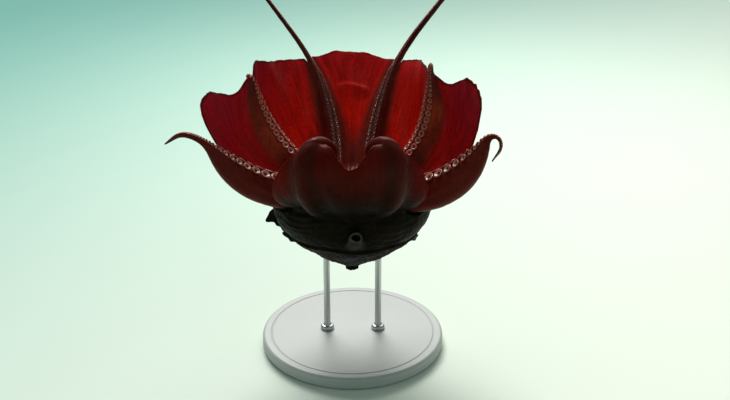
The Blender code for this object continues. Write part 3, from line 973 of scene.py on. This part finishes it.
SUCKER_SHARE = 0.29  # a sucker's radius, as a share of the arm's
SUCKER_STEP = 1.25  # from one sucker to the next, which is in the other row, in their radii
SUCKER_LEAST = 0.00035  # none smaller is made
SUCKER_LARGE = 0.0014  # larger ones have more points round them
SUCKER_FIRST = 0.004  # how far out on the arm the first one sits
DORSAL_SUCKERS = 0.75  # the dorsal arms' suckers are smaller by this
# Width and height from a sucker's foot over its rim and down into it, in its radii.
SUCKER_PROFILE = (
    (0.70, -0.45), (0.78, -0.05), (0.84, 0.20), (0.97, 0.40), (1.00, 0.52), (0.93, 0.62), (0.80, 0.62),
    (0.64, 0.48), (0.42, 0.34), (0.27, 0.28), (0.22, 0.15), (0.20, -0.10),
)


def sucker_places(k):
    """Radius, centre, facing and two further directions of each sucker of an arm, in alternating rows."""
    share = SUCKER_SHARE * (DORSAL_SUCKERS if ARMS[k].name.endswith("1") else 1)
    distance = SUCKER_FIRST
    way = 1
    while distance < ARMS[k].length:
        axis = at(LINES[k], np.array(distance))
        size = share * float(axis.radius) * float(0.55 + 0.45 * ease(distance / 0.03))
        if size < SUCKER_LEAST:
            break
        off = math.asin(min(0.9, 1.05 * size / float(axis.radius)))
        centre = arm_surface(LINES[k], np.array(distance), np.array(180 - way * math.degrees(off)))
        facing = unit(way * math.sin(off) * axis.side + math.cos(off) * axis.oral)
        across = unit(np.cross(facing, axis.forward))
        yield size, centre, facing, across, np.cross(across, facing)
        distance += SUCKER_STEP * size
        way = -way


def suckers(k):
    """All the cups along the inner side of one arm, in one mesh."""
    points = []
    faces = []
    depths = []
    last_row = len(SUCKER_PROFILE) - 1
    for size, centre, facing, across, along in sucker_places(k):
        count = 22 if size > SUCKER_LARGE else 14
        turn = 2 * math.pi * np.arange(count) / count
        base = len(points)
        for row, (wide, high) in enumerate(SUCKER_PROFILE):
            ring = wide * size * (np.outer(np.cos(turn), across) + np.outer(np.sin(turn), along))
            points.extend(centre + ring + facing * high * size)
            depths.extend([row / last_row] * count)
        faces += bands(base, len(SUCKER_PROFILE), count)
        last = base + last_row * count
        faces.append(tuple(reversed(range(base, base + count))))
        faces.append(tuple(range(last, last + count)))
    mesh = bpy.data.meshes.new("suckers_" + ARMS[k].name)
    mesh.from_pydata([tuple(p) for p in points], [], faces)
    add_mark(mesh, "depth", depths)
    mesh.shade_smooth()
    return placed(mesh.name, mesh)


# ==== Turned pieces: eyes and stand ====

def turned(name, profile, count, foot, up, across):
    """A piece turned from a profile of widths and heights about an axis. Its ends lie on the axis."""
    side = np.cross(up, across)
    turn = 2 * math.pi * np.arange(count) / count
    spoke = np.outer(np.cos(turn), across) + np.outer(np.sin(turn), side)
    inner = profile[1:-1]
    points = [foot + wide * spoke + high * up for wide, high in inner]
    points = np.concatenate(points + [[foot + profile[0][1] * up, foot + profile[-1][1] * up]])
    faces = bands(0, len(inner), count)
    low, high = len(points) - 2, len(points) - 1
    last = (len(inner) - 1) * count
    for c in range(count):
        faces.append((low, (c + 1) % count, c))
        faces.append((high, last + c, last + (c + 1) % count))
    mesh = bpy.data.meshes.new(name)
    mesh.from_pydata(points.tolist(), [], faces)
    turn_out(mesh)
    mesh.shade_smooth()
    return placed(name, mesh)


ROUND_STEPS = 5  # points round each corner


def rounded(corners, radius):
    """A profile whose inner corners are rounded."""
    corners = np.array(corners, float)
    path = [corners[0]]
    for before, here, after in zip(corners, corners[1:-1], corners[2:]):
        first = here + unit(before - here) * min(radius, np.linalg.norm(before - here) * 0.45)
        last = here + unit(after - here) * min(radius, np.linalg.norm(after - here) * 0.45)
        for u in np.linspace(0, 1, ROUND_STEPS):
            path.append(first * (1 - u) ** 2 + 2 * here * u * (1 - u) + last * u**2)
    path.append(corners[-1])
    return path


FRONT_SWELL = 0.00035  # how far the clear front of an eye stands out
FRONT_EDGE = 31  # where it ends, in degrees from the middle
GROOVE_DEEP = 0.00016
GROOVE_AT = 35


def eye_ball(eye):
    """The ball behind the lids, with its clear front a little swollen and a groove round it."""
    down = np.radians(np.concatenate([np.linspace(0, 60, 49), np.linspace(62.5, 180, 48)]))
    out = np.degrees(down)
    radius = eye.radius + FRONT_SWELL * ease((FRONT_EDGE - out) / 16)
    radius = radius - GROOVE_DEEP * peak(out, GROOVE_AT, 2.5)
    profile = np.stack([radius * np.sin(down), radius * np.cos(down)], 1)
    part = turned(eye.name.replace("eye", "eye_ball"), profile, 96, eye.centre, eye.out, eye.level)
    away = places(part.data) - eye.centre
    for mark, direction in (("level", eye.level), ("upright", eye.upright), ("outward", eye.out)):
        add_mark(part.data, mark, away @ direction * 1000)
    return part


UP = np.array([0, 0, 1.0])
LEFT = np.array([1.0, 0, 0])


def base_plate():
    """The round plate, with a bevelled edge and a groove near it."""
    low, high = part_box("stand_base")
    wide = (high.x - low.x) / 2
    tall = high.z - low.z
    corners = [
        (0, 0), (wide - 0.0015, 0), (wide - 0.0015, 0.0012), (wide, 0.0020), (wide, tall - 0.0016),
        (wide - 0.0018, tall), (wide - 0.0075, tall), (wide - 0.0080, tall - 0.0005),
        (wide - 0.0088, tall - 0.0005), (wide - 0.0093, tall), (0, tall),
    ]
    middle = np.array([(low.x + high.x) / 2, (low.y + high.y) / 2, low.z])
    return turned("base_plate", rounded(corners, 0.0008), 192, middle, UP, LEFT)


def rod(name):
    """An upright rod with a collar at its foot. Its upper end lies in the animal's underside."""
    low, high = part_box(name)
    wide = (high.x - low.x) / 2
    tall = high.z - low.z + 0.001
    corners = [
        (0, 0), (wide * 2.1, 0), (wide * 2.1, 0.0030), (wide * 1.75, 0.0042), (wide * 1.25, 0.0046),
        (wide * 1.2, 0.0056), (wide, 0.0060), (wide, tall * 0.5), (wide, tall - 0.0008),
        (wide * 0.8, tall), (0, tall),
    ]
    foot = np.array([(low.x + high.x) / 2, (low.y + high.y) / 2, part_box("stand_base")[1].z - 0.0002])
    return turned(name.replace("stand_", ""), rounded(corners, 0.0005), 48, foot, UP, LEFT)


# ==== Materials ====

class Wire:
    """A shader socket that sums can be written with."""

    def __init__(self, tree, socket=None):
        self.tree = tree
        self.socket = socket

    def node(self, kind, settings=None, values=None, output=0):
        """A new node: its settings first, then the values or links of its sockets. Returns one output."""
        made = self.tree.nodes.new(kind)
        for name, value in (settings or {}).items():
            setattr(made, name, value)
        for name, value in (values or {}).items():
            put(self.tree, made.inputs[name], value)
        return Wire(self.tree, made.outputs[output])

    def sum(self, operation, *values):
        return self.node("ShaderNodeMath", {"operation": operation}, dict(enumerate(values)))

    def __add__(self, other):
        return self.sum("ADD", self, other)

    def __radd__(self, other):
        return self.sum("ADD", other, self)

    def __sub__(self, other):
        return self.sum("SUBTRACT", self, other)

    def __rsub__(self, other):
        return self.sum("SUBTRACT", other, self)

    def __mul__(self, other):
        return self.sum("MULTIPLY", self, other)

    def __rmul__(self, other):
        return self.sum("MULTIPLY", other, self)

    def __truediv__(self, other):
        return self.sum("DIVIDE", self, other)

    def __pow__(self, other):
        return self.sum("POWER", self, other)

    def between(self, low, high):
        """Nought below low, one above high, and smooth between them."""
        values = {0: self, 1: low, 2: high, 3: 0.0, 4: 1.0}
        return self.node("ShaderNodeMapRange", {"interpolation_type": "SMOOTHSTEP"}, values)

    def mark(self, name):
        return self.node("ShaderNodeAttribute", {"attribute_name": name}, output="Fac")

    def place(self):
        """Where a point of the surface lies, in the piece's own frame."""
        return self.node("ShaderNodeTexCoord", output="Object")

    def along(self, axis):
        """One coordinate of a vector."""
        return self.node("ShaderNodeSeparateXYZ", {}, {"Vector": self}, output=axis)

    def vector(self, x, y):
        return self.node("ShaderNodeCombineXYZ", {}, {"X": x, "Y": y})

    def noise(self, scale, detail, rough=0.5, place=None):
        values = {"Scale": scale, "Detail": detail, "Roughness": rough}
        values["Vector"] = place or self.place()
        return self.node("ShaderNodeTexNoise", {}, values)

    def mix(self, share, first, second):
        """First colour to second, by share."""
        return self.node("ShaderNodeMix", {"data_type": "RGBA"}, {0: share, 6: first, 7: second}, output=2)

    def bump(self, height, distance, strength):
        return self.node("ShaderNodeBump", {}, {"Height": height, "Distance": distance, "Strength": strength})


def put(tree, socket, value):
    """Links a wire to a socket, or sets the socket to a value. A colour gets its fourth number here."""
    if isinstance(value, Wire):
        tree.links.new(value.socket, socket)
    elif isinstance(value, tuple) and len(value) == 3 and socket.type == "RGBA":
        socket.default_value = (*value, 1)
    else:
        socket.default_value = value


def finish_of(name, **sockets):
    """A material with these values on its Principled shader, its wire, and a function to link more."""
    made = bpy.data.materials.new(name)
    made.use_nodes = True
    shader = made.node_tree.nodes["Principled BSDF"]

    def link(socket, value):
        put(made.node_tree, shader.inputs[socket], value)

    for socket, value in sockets.items():
        link(socket.replace("_", " "), value)
    return made, Wire(made.node_tree), link


WEB_RED_AND_GLOW = (0.62, 0.010, 0.002)
WEB_CRIMSON = (0.36, 0.013, 0.030)
WEB_FIBRE_AND_SHADE = (0.070, 0.004, 0.003)
WEB_MOUTH_SKIN_AND_SHADE = (0.030, 0.003, 0.002)
RIM_DARK = (0.020, 0.003, 0.003)
ARM_BROWN = (0.082, 0.0080, 0.0054)
ARM_ORAL = (0.135, 0.014, 0.008)
ARM_TAWNY = (0.46, 0.066, 0.020)
BODY_SHADE_BLACK = (0.0022, 0.0042, 0.0020)
BODY_SHADE_BROWN = (0.010, 0.0062, 0.0030)
BACK_DARK = (0.011, 0.0050, 0.0036)
BACK_BROWN = (0.052, 0.0150, 0.0085)
PALE_GLINT_AND_GLOW = (0.22, 0.19, 0.16)

# What the colour of the skin depends on: marks of its net, noises, and where it lies.
SKIN_MARKS = ("web", "oral", "rim", "body", "pale", "reach", "across")
Spot = namedtuple("Spot", (*SKIN_MARKS, "blotch", "mottle", "speck", "fibre", "sideways", "behind"))


def spot_of(wire):
    """A spot of the skin, which the next three functions colour."""
    marks = {name: wire.mark(name) for name in SKIN_MARKS}
    blotch = wire.noise(38, 4).between(0.38, 0.66)
    mottle = wire.noise(115, 4, 0.6).between(0.40, 0.62)
    speck = wire.noise(520, 2).between(0.50, 0.62)
    ray = wire.vector(marks["across"] * 14.0, marks["reach"] * 26.0)
    fibre = wire.noise(1.0, 5, 0.62, place=ray).between(0.36, 0.66)
    place = wire.place()
    sideways = wire.sum("ABSOLUTE", place.along("X"))
    return Spot(*marks.values(), blotch, mottle, speck, fibre, sideways, place.along("Y"))


def web_colour(wire, spot):
    """Scarlet in the middle, partly painted glow, crimson at the sides and edge; painted shade outside and
    deep in the cup.
    """
    # Partly painted glow: brightest scarlet in the middle, where light shines through, duller crimson towards
    # the sides and the edge.
    glow_fade = spot.sideways.between(0.050, 0.100) * 0.60 + spot.reach.between(0.070, 0.128) * 0.40
    colour = wire.mix(glow_fade * (0.8 + 0.2 * spot.blotch), WEB_RED_AND_GLOW, WEB_CRIMSON)
    colour = wire.mix(spot.fibre * 0.36, colour, WEB_FIBRE_AND_SHADE)
    # Painted shade: the web's outer side is darkened towards the same dark colour as its fibres.
    colour = wire.mix((1 - spot.oral) * 0.80, colour, WEB_FIBRE_AND_SHADE)
    # Painted shade deep in the cup towards the mouth, together with darker skin there, most in the middle
    # between the arms.
    deep = (1 - spot.reach.between(0.018, 0.062)) * (1 - 0.6 * spot.sideways.between(0.020, 0.045))
    return wire.mix(deep * 0.85, colour, WEB_MOUTH_SKIN_AND_SHADE)


def arm_colour(wire, spot):
    """Mottled brown, darker towards the tips, and tawny on the inner side of the second pair."""
    colour = wire.mix(spot.oral, ARM_BROWN, ARM_ORAL)
    colour = wire.mix(spot.mottle * 0.45, colour, ARM_BROWN)
    colour = wire.mix(spot.reach.between(0.110, 0.150) * 0.65, colour, RIM_DARK)
    second = spot.sideways.between(0.030, 0.050) * spot.behind.between(-0.002, 0.012)
    tawny = second * spot.reach.between(0.030, 0.050) * (1 - spot.reach.between(0.080, 0.115))
    return wire.mix(tawny * (0.08 + 0.92 * spot.oral) * (0.40 + 0.45 * spot.blotch), colour, ARM_TAWNY)


def body_colour(wire, spot):
    """Painted shade makes it nearly black in front; mottled brown at the back."""
    dorsal = spot.behind.between(-0.004, 0.045)
    # Painted shade: the front is near-black, mottled with very dark brown.
    front = wire.mix(spot.mottle * (0.25 + 0.5 * spot.blotch), BODY_SHADE_BLACK, BODY_SHADE_BROWN)
    back = wire.mix(spot.mottle * (0.25 + 0.75 * spot.blotch), BACK_DARK, BACK_BROWN)
    return wire.mix(dorsal, front, back)


def skin_finish(name, glow):
    """The animal's skin. glow: how much light passes into it and through it where it is thin."""
    made, wire, link = finish_of(
        name,
        Subsurface_Weight=glow,
        Subsurface_Radius=(1.0, 0.14, 0.08),
        Subsurface_Scale=0.004,
        Specular_IOR_Level=0.04,
        Specular_Tint=(1.0, 0.42, 0.36, 1.0),
        IOR=1.4,
        Coat_Roughness=0.10,
    )
    spot = spot_of(wire)
    web = web_colour(wire, spot)
    colour = wire.mix(spot.web, arm_colour(wire, spot), web)
    colour = wire.mix(spot.rim * 0.9, colour, RIM_DARK)
    body = body_colour(wire, spot)
    # Head and mantle colour, with its painted shade in front, also where it is carried up the cup.
    colour = wire.mix(spot.body.between(0.05, 0.75), colour, body)
    colour = wire.mix(spot.speck * 0.30, colour, RIM_DARK)
    # Painted highlight on the funnel's lips and painted light through the left flap, where the pale mark
    # says.
    link("Base Color", wire.mix(spot.pale, colour, PALE_GLINT_AND_GLOW))
    link("Roughness", 0.34 + 0.18 * wire.noise(90, 3) + 0.10 * spot.body)
    wet = 0.25 + 0.75 * wire.noise(31, 2).between(0.50, 0.66)
    link("Coat Weight", 0.02 + 0.20 * (1 - spot.body) * (0.35 + 0.65 * spot.oral) * wet)
    grain = wire.noise(700, 3, 0.6) * 0.5 + wire.noise(160, 3, 0.6) + spot.fibre * spot.web * 0.5
    link("Normal", wire.bump(grain, 0.0006, 0.5))
    return made


# A sucker's colours: dark inside it and at its foot as painted shade, and lighter at its rim, partly a
# painted highlight.
PALE_SUCKER_SHADE_GLINT = ((0.090, 0.015, 0.010), (0.46, 0.19, 0.14))
ROSY_SUCKER_SHADE_GLINT = ((0.22, 0.060, 0.045), (0.52, 0.18, 0.135))
DUSKY_SUCKER_SHADE_GLINT = ((0.05, 0.010, 0.006), (0.17, 0.048, 0.030))


def sucker_finish(name, deep, edge):
    """Moist cups, painted dark inside as shade, with a lighter rim that is partly a painted highlight."""
    made, wire, link = finish_of(
        name,
        Subsurface_Weight=0.7,
        Subsurface_Radius=(1.0, 0.25, 0.16),
        Subsurface_Scale=0.002,
        Specular_IOR_Level=0.35,
        IOR=1.4,
        Coat_Weight=0.35,
        Coat_Roughness=0.1,
    )
    depth = wire.mark("depth")
    # Painted shade inside the cup and at its foot; the lighter rim is partly a painted highlight.
    rim = depth.between(0.22, 0.45) * (1 - depth.between(0.62, 0.80))
    colour = wire.mix(rim, deep, edge)
    link("Base Color", wire.mix(wire.noise(300, 3).between(0.4, 0.65) * 0.4, colour, deep))
    link("Roughness", 0.25 + 0.15 * wire.noise(400, 2))
    link("Normal", wire.bump(wire.noise(900, 3), 0.0004, 0.5))
    return made


IRIS_BRONZE = (0.34, 0.20, 0.075)
IRIS_BROWN = (0.10, 0.045, 0.016)
IRIS_EDGE = (0.055, 0.022, 0.012)
PUPIL_BLACK = (0.002, 0.002, 0.002)
BALL_DARK = (0.010, 0.008, 0.006)


def eye_finish():
    """A dark ball with a bronze ring round a level slit. Its marks are in millimetres."""
    made, wire, link = finish_of(
        "eye",
        IOR=1.38,
        Specular_IOR_Level=0.2,
        Coat_Weight=0.9,
        Coat_IOR=1.34,
        Coat_Roughness=0.02,
        Roughness=0.3,
    )
    level = wire.mark("level")
    upright = wire.mark("upright")
    outward = wire.mark("outward")
    bent = upright - 0.035 * level * level + 0.15
    slit = 1 - ((level / 4.6) ** 4 + (bent / 1.30) ** 2).between(0.82, 1.12)
    wide = wire.sum("SQRT", level * level + upright * upright)
    angle = wire.sum("ARCTAN2", upright, level)
    ray = wire.vector(angle * 4.0, wide * 0.55)
    streak = wire.noise(2.2, 4, 0.6, place=ray).between(0.35, 0.65)
    ring = wire.mix(streak, IRIS_BRONZE, IRIS_BROWN)
    ring = wire.mix(wide.between(3.4, 6.2), ring, IRIS_EDGE)
    colour = wire.mix(slit, ring, PUPIL_BLACK)
    colour = wire.mix(wide.between(6.0, 6.8), colour, BALL_DARK)
    link("Base Color", wire.mix(outward.between(-2.0, 2.0), BALL_DARK, colour))
    link("Normal", wire.bump(wire.noise(500, 2), 0.0002, 0.2))
    return made


PLATE_PALE = (0.40, 0.42, 0.41)
PLATE_SHADE = (0.36, 0.38, 0.375)
ROD_DARK = (0.40, 0.41, 0.41)
ROD_BRIGHT = (0.60, 0.60, 0.59)


def base_finish():
    """A faintly clouded satin grey."""
    made, wire, link = finish_of("satin plate", Specular_IOR_Level=0.4)
    cloud = wire.noise(9, 3).between(0.3, 0.7)
    link("Base Color", wire.mix(cloud * 0.5, PLATE_PALE, PLATE_SHADE))
    link("Roughness", 0.42 + 0.12 * wire.noise(160, 3))
    link("Normal", wire.bump(wire.noise(1500, 2), 0.0001, 0.35))
    return made


def rod_finish():
    """Steel with fine brush lines up the rod."""
    made, wire, link = finish_of("brushed rod", Metallic=1.0)
    stretch = {0: wire.place(), 1: (900.0, 900.0, 14.0)}
    stretched = wire.node("ShaderNodeVectorMath", {"operation": "MULTIPLY"}, stretch)
    brush = wire.noise(1.0, 3, 0.6, place=stretched)
    link("Base Color", wire.mix(brush, ROD_DARK, ROD_BRIGHT))
    link("Roughness", 0.24 + 0.22 * brush)
    link("Normal", wire.bump(brush, 0.0001, 0.4))
    return made


# ==== Making the pieces ====

skin = build_skin()
skin.data.materials.append(skin_finish("moist skin", 0.85))
skin.data.materials.append(skin_finish("dense skin", 0.0))
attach(skin, "root")
flesh = [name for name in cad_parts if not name.startswith(("eye", "stand"))]
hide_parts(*flesh)

pale_suckers = sucker_finish("pale sucker", *PALE_SUCKER_SHADE_GLINT)
rosy_suckers = sucker_finish("rosy sucker", *ROSY_SUCKER_SHADE_GLINT)
dusky_suckers = sucker_finish("dusky sucker", *DUSKY_SUCKER_SHADE_GLINT)
sucker_looks = {"1": dusky_suckers, "2": rosy_suckers, "3": pale_suckers, "4": dusky_suckers}
for k, arm in enumerate(ARMS):
    row = suckers(k)
    row.data.materials.append(sucker_looks[arm.name[-1]])
    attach(row, "root")

eye_look = eye_finish()
for eye in EYES:
    ball = eye_ball(eye)
    ball.data.materials.append(eye_look)
    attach(ball, "root")
    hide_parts(eye.name)

plate = base_plate()
plate.data.materials.append(base_finish())
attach(plate, "root")
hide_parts("stand_base")

steel = rod_finish()
for name in ("stand_rod_left", "stand_rod_right"):
    bar = rod(name)
    bar.data.materials.append(steel)
    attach(bar, "root")
    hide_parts(name)


# ==== Floor, light and camera ====

FLOOR_HALF = 30.0  # half the width of the floor
FLOOR_DIM_MINT = (0.155, 0.44, 0.385)
FLOOR_LIT_CREAM = (0.78, 0.83, 0.74)
FLOOR_FAR = (0.42, 0.64, 0.57)
HORIZON_PALE = (0.52, 0.71, 0.64)
OVERHEAD = (0.19, 0.24, 0.225)
CAMERA = (0.0117, -1.0468, 0.6362)
VIEW_DOWN = 25.0
LENS = 63.0


def floor():
    """A plain sheet: dim mint behind the animal's right, cream before its left as a painted pool of light,
    and pale green far away.
    """
    mesh = bpy.data.meshes.new("floor")
    corners = [(x * FLOOR_HALF, y * FLOOR_HALF, 0) for x, y in ((-1, -1), (1, -1), (1, 1), (-1, 1))]
    mesh.from_pydata(corners, [], [(0, 1, 2, 3)])
    part = placed("floor", mesh)
    part.location.z = -0.0005
    made, wire, link = finish_of("pale floor", Roughness=0.8, Specular_IOR_Level=0.2)
    place = wire.place()
    slant = {0: place, 1: (0.6, -0.5, 0.0)}
    forward = wire.node("ShaderNodeVectorMath", {"operation": "DOT_PRODUCT"}, slant, "Value")
    # Painted light: the cream before the animal's left stands for a pool of light, the mint behind its right
    # for dimmer floor.
    colour = wire.mix(forward.between(-1.1, 0.35), FLOOR_DIM_MINT, FLOOR_LIT_CREAM)
    away = wire.node("ShaderNodeVectorMath", {"operation": "LENGTH"}, {0: place}, "Value")
    link("Base Color", wire.mix(away.between(1.2, 2.0), colour, FLOOR_FAR))
    mesh.materials.append(made)


def lamp(name, kind, place, power, size, colour=(1, 1, 1)):
    """A lamp aimed at the animal. size is an area lamp's width, or a sun's width in degrees."""
    light = bpy.data.lights.new(name, kind)
    light.energy = power
    light.color = colour
    if kind == "SUN":
        light.angle = math.radians(size)
    else:
        light.size = size
    part = placed(name, light)
    part.location = place
    part.rotation_euler = (Vector((0, 0, 0.2)) - Vector(place)).to_track_quat("-Z", "Y").to_euler()


def studio():
    """Soft surroundings: as pale as the floor near the horizon, dimmer overhead."""
    world = bpy.data.worlds.new("studio")
    world.use_nodes = True
    wire = Wire(world.node_tree)
    height = wire.node("ShaderNodeTexCoord", output="Generated").along("Z")
    colour = wire.mix(height.between(0.02, 0.30), HORIZON_PALE, OVERHEAD)
    put(world.node_tree, world.node_tree.nodes["Background"].inputs["Color"], colour)
    bpy.context.scene.world = world


def camera():
    """In front of the animal and above it, looking down at a slant."""
    part = placed("camera", bpy.data.cameras.new("camera"))
    part.data.lens = LENS
    part.data.sensor_width = 36.0
    part.location = CAMERA
    part.rotation_euler = (math.radians(90 - VIEW_DOWN), 0, 0)
    bpy.context.scene.camera = part


floor()
lamp("back lamp", "SUN", (-0.4, 1.9, 2.4), 2.9, 30, (1.0, 0.99, 0.96))
lamp("glow lamp", "AREA", (0.1, 0.75, 0.75), 5.5, 0.7, (1.0, 0.96, 0.9))
lamp("front lamp", "AREA", (0.7, -1.3, 1.3), 1.2, 1.2)
studio()
bpy.context.scene.view_settings.view_transform = "Standard"
camera()
